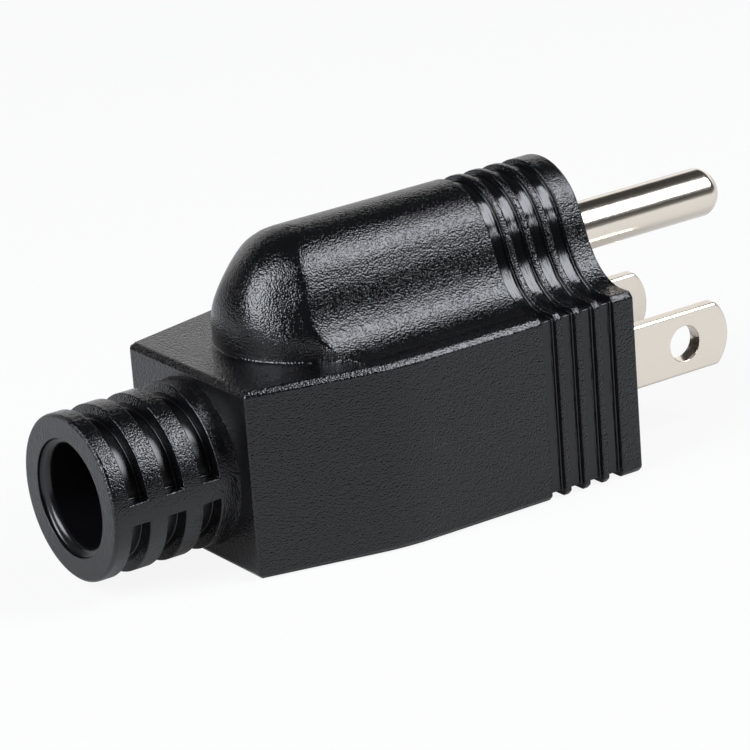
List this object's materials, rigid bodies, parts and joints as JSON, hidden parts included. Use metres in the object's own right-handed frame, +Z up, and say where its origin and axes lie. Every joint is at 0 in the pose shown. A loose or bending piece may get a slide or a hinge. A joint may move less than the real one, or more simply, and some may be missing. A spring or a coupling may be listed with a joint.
{
  "type": "three-pin mains plug",
  "caption": "Cordless rewirable mains plug: flat blades and a round earthing pin in a humped black body with a ribbed finger grip and a slotted strain relief around an open cord bore.",
  "frame": {"origin": "on the mating face, midway between the two flat blades", "axes": "+X the way the pins point, +Y to the left of the plug, +Z up, towards the earthing pin"},
  "size_m": [0.0745, 0.0266, 0.0287],
  "materials": {
    "shell": "fine grained, with smooth bright groove floors",
    "carrier": "smooth satin",
    "contact": "nickel plated, semi-bright",
    "brass_screw": "bright",
    "steel_screw": "zinc plated",
    "earth_screw": "green dyed"
  },
  "bodies": {
    "root": {"body_shell": "shell", "contact_carrier": "carrier", "line_blade": "contact", "neutral_blade": "contact", "ground_pin": "contact", "line_terminal_screw": "brass_screw", "neutral_terminal_screw": "steel_screw", "ground_terminal_screw": "earth_screw", "cord_clamp": "steel_screw", "cord_clamp_screws": "steel_screw", "carrier_screw": "steel_screw"}
  },
  "joints": []
}
